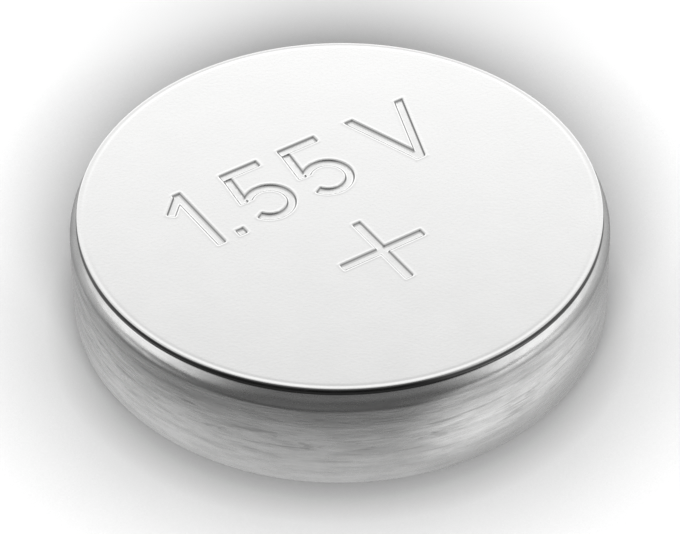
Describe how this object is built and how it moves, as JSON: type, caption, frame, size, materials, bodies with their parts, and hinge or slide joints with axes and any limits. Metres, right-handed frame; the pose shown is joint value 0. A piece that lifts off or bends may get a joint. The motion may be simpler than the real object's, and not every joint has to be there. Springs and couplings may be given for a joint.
{
  "type": "silver oxide button cell",
  "caption": "Round silver oxide button cell: nickel-plated steel can with a flat stamped positive face, crimped over a nylon gasket onto the negative cap.",
  "frame": {"origin": "on the cell's axis, at the flat of the negative cap that the cell stands on", "axes": "+Z along the cell's axis, towards the positive face; +Y away from the side seen in front; the row of stamped figures runs at 33 degrees to +X"},
  "size_m": [0.0116, 0.0116, 0.003],
  "materials": {
    "can_plate": "bright nickel plate, satin on the flat face, with drawing streaks round the wall",
    "cap_plate": "bright nickel skin of a three-layer sheet, lightly scuffed",
    "nylon": "natural nylon",
    "oxide": "pressed powder",
    "ring_steel": "nickel-plated steel, satin",
    "film": "clear amber film",
    "felt": "non-woven fibre",
    "zinc_gel": "wet powder gel"
  },
  "bodies": {
    "root": {"can": "can_plate", "cathode_pellet": "oxide", "support_ring": "ring_steel", "barrier_film": "film", "absorbent_pad": "felt", "anode_gel": "zinc_gel", "gasket": "nylon", "anode_cap": "cap_plate"}
  },
  "joints": []
}
